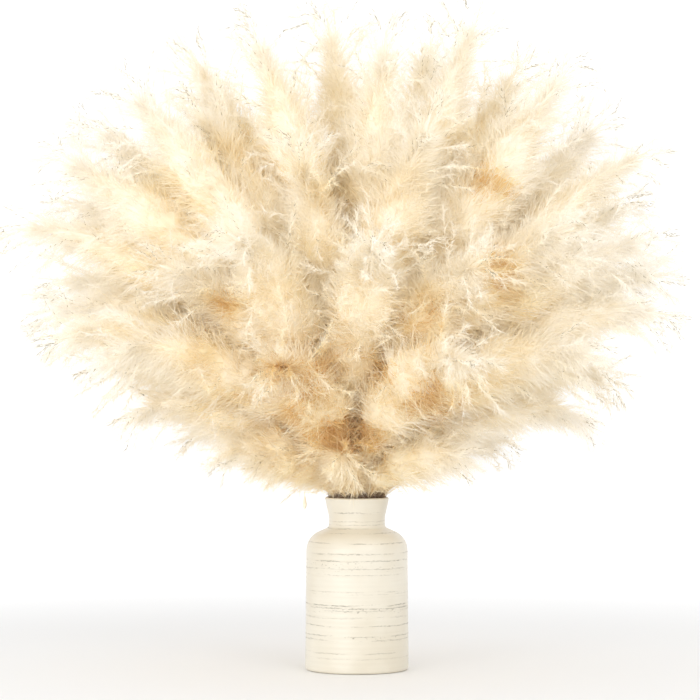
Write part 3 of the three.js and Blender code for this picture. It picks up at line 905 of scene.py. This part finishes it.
def growBranchHairs(plume, curves, up, turn, length):
    # hairs along the branches, more of them on the longer ones
    form = hairForm
    rng = plume.rng
    steps = branchForm["steps"]
    reachShare = 0.55 + 0.45 * plume.plan["reach"] / headForm["fullReach"]
    hairs = int(form["hairs"] * plume.lengthShare * reachShare)
    chance = length * (0.15 + up ** 2) * np.interp(up, [0.72, 1], [1, 0.35])
    owner = rng.choice(len(up), hairs, p=chance / chance.sum())
    share = (0.4 + 0.6 * rng.uniform(0.0, 1.0, hairs) ** 0.85) * steps * 0.9999
    low = np.minimum(share.astype(int), steps - 1)
    part = (share - low)[:, None]
    base = curves[owner, low] * (1 - part) + curves[owner, low + 1] * part
    heading = unit(curves[owner, low + 1] - curves[owner, low])
    short = rng.random(hairs) < form["shortShare"]
    wide = rng.uniform(*form["shortSpread"], hairs)
    narrow = rng.uniform(*form["longSpread"], hairs)
    aim = splayed(heading, np.where(short, wide, narrow), rng) + downward * form["droop"]
    size = np.where(short, rng.uniform(*form["shortHair"], hairs), rng.uniform(*form["longHair"], hairs))
    tips = keepNear(base + unit(aim) * (size * (1 - 0.35 * share / steps))[:, None])
    light = plume.lightAt(up[owner], turn[owner]) + form["tipLight"] * (share / steps - 0.5) - form["shade"]
    light = light + rng.normal(0, headForm["looseHair"], hairs) + plume.shade
    tones = hairTone(light + whiteEdge(tips) - paintedHollowShade(tips))
    thick = form["thick"] / 2 * rng.uniform(0.8, 1.3, hairs) * np.interp(up[owner], [0.75, 1], [1, 0.65])
    plume.spikes(base, tips, thick, tones)


huskForm = {
    "branches": 17,  # of a full head
    "perBranch": 5,
    "shortestBranch": 0.3,  # of the reach
    "length": (0.005, 0.010),
    "thick": 0.4 * mm,
    "offset": 1.2 * mm,
    "loose": 0.28,
}


def growHusks(plume, curves, up, length):
    # small dark husks in line along some of the outer branches
    form = huskForm
    rng = plume.rng
    steps = branchForm["steps"]
    branches = int(form["branches"] * plume.feathered / headForm["fullLength"])
    chance = up ** 2 * (length > form["shortestBranch"] * plume.reach)
    owner = np.repeat(rng.choice(len(up), branches, p=chance / chance.sum()), form["perBranch"])
    husks = len(owner)
    k = np.tile(np.arange(steps - form["perBranch"], steps), branches)
    base = curves[owner, k] + rng.normal(0, form["offset"], (husks, 3))
    heading = unit(curves[owner, k + 1] - curves[owner, k])
    aim = unit(heading + rng.normal(0, form["loose"], (husks, 3)))
    tips = base + aim * rng.uniform(*form["length"], (husks, 1))
    plume.spikes(base, tips, form["thick"], np.full(husks, tone["husk"]))


bristleForm = {
    "count": 480,
    "closest": 0.1 * mm,  # least bare stem for each bristle
    "ring": [10, 20],  # mm from the neck's axis
    "ringShare": [0.35, 1.7],  # of the count, from the inner stems to the outer ones
    "length": (0.022, 0.050),
    "spread": (4, 34),
    "outward": (0, 0.55),
}


def growBristles(plume):
    # bristles on the stem from the rim up to the head
    form = bristleForm
    rng = plume.rng
    share = np.interp(math.hypot(*plume.place), form["ring"], form["ringShare"])
    count = int(min(form["count"] * share, plume.start * plume.total / form["closest"]))
    up = rng.uniform(0.0, 1.0, count) ** 1.3 * plume.start
    base, heading = along(plume.arch, up)
    spread = rng.uniform(*form["spread"], count)
    outward = unit(base * flatPart) * rng.uniform(*form["outward"], (count, 1))
    aim = splayed(heading, spread, rng) + outward
    tips = base + unit(aim) * rng.uniform(*form["length"], (count, 1))
    tones = hairTone(rng.uniform(0.0, 0.22, count) + 0.5 * up)
    plume.spikes(base, tips, furForm["thick"] / 2, tones)


sheathAndMouthShadeForm = {
    "count": 40,
    "within": 5 * mm,  # of the arch's foot
    "outTo": (0.028, 0.037),
    "upTo": (0.200, 0.209),
    "loose": 0.35,
    "thick": 0.9 * mm,
}


def growSheathsAndMouthShade(plume):
    # dark broken sheaths on the stem in the vase's mouth, partly real sheaths and partly painted shade of
    # the mouth's inside
    form = sheathAndMouthShadeForm
    rng = plume.rng
    count = form["count"]
    base, _ = along(plume.arch, rng.uniform(0, form["within"] / plume.total, count))
    swing = rng.normal(0, form["loose"], (count, 3)) * flatPart
    tips = unit(unit(base * flatPart) + swing) * rng.uniform(*form["outTo"], (count, 1))
    tips = tips + [0, 0, 1] * rng.uniform(*form["upTo"], (count, 1))
    plume.spikes(base, tips, form["thick"], np.full(count, tone["sheathAndMouthShade"]))


seedHead = {
    "x": -60.5 * mm,
    "top": 203.5 * mm,
    "bottom": 186 * mm,
    "forward": 4 * mm,  # of the stem that it hangs from
    "hangsAt": -58 * mm,  # x of the place on that stem
    "stalkThick": 0.4 * mm,
    "radius": 2.7 * mm,
    "rings": 9,
    "sides": 8,
}


def hangSeedHead(plume):
    # one pale seed head hangs left of the rim
    form = seedHead
    hang = plume.arch[np.argmin(np.abs(plume.arch[:, 0] - form["hangsAt"]))]
    top = np.array([form["x"], hang[1] - form["forward"], form["top"]])
    bottom = np.array([form["x"], hang[1] - form["forward"], form["bottom"]])
    plume.spikes(top[None], hang[None], form["stalkThick"], np.array([tone["hair"][0] + 0.2]))
    drop = np.linspace(0, 1, form["rings"])[:, None]
    fat = np.interp(drop[:, 0], [0, 0.3, 0.7, 1], [0.1, 0.6, 1, 0.1]) * form["radius"]
    radii = np.tile(fat[:, None], (1, form["sides"]))
    plume.bunch.tube(top + (bottom - top) * drop, radii, np.full(radii.shape, tone["seedHead"]))


def growPlume(index, plan, place, grass):
    plume = Plume(index, plan, place)
    growStalk(plume)
    growBody(plume)
    growFur(plume)
    curves, up, turn, length = growBranches(plume)
    growBranchHairs(plume, curves, up, turn, length)
    growHusks(plume, curves, up, length)
    growBristles(plume)
    growSheathsAndMouthShade(plume)
    if index == 0:
        hangSeedHead(plume)
    data = plume.bunch.mesh(f"plume_{index + 1:02d}")
    data.materials.append(grass)
    piece = bpy.data.objects.new(f"plume{index + 1:02d}", data)
    bpy.context.collection.objects.link(piece)
    ownPiece(piece, f"plume_{index + 1:02d}")
    return len(data.polygons)


grassLook = {
    "stops": [
        (0.06, (229, 197, 137)), (0.11, (240, 220, 174)), (0.20, (247, 235, 205)), (0.36, (250, 243, 227)),
        (0.52, (251, 247, 239)), (0.70, (252, 250, 248)),  # hair, from tan to white
        (0.76, (236, 208, 158)), (0.84, (230, 200, 148)),  # stem
        (0.86, (122, 82, 42)), (0.89, (122, 82, 42)), (0.93, (158, 149, 122)),  # sheaths, partly painted shade of the vase's mouth, and husks
    ],
    "pale": (255, 252, 242),
    "paleShare": 0.2,  # at a hair's tip
    "roughness": 0.9,
    "gloss": 0.1,
}


def grassMaterial():
    paint = Shader(bpy.data.materials.new("driedPlume"))
    place = paint.node("ShaderNodeUVMap", {"uv_map": "OFBake"}, {})
    tint = paint.node("ShaderNodeValToRGB", {"stops": grassLook["stops"]}, {"Fac": paint.axis(place, "Y")})
    pale = paint.axis(place, "X").between(0.0, 0.8) * grassLook["paleShare"]
    paint.set(
        Base_Color=paint.mix(pale, tint, grassLook["pale"]),
        Roughness=grassLook["roughness"],
        Specular_IOR_Level=grassLook["gloss"],
    )
    return paint.owner


makeStudio()
throwVase()
grass = grassMaterial()
plans = plumePlans()
places = neckPlaces(plans)
print("plumes placed:", len(plans))
faces = [growPlume(i, plan, places[i], grass) for i, plan in enumerate(plans)]
print("plumes grown:", len(plans), "with", sum(faces), "faces, at most", max(faces), "in one")
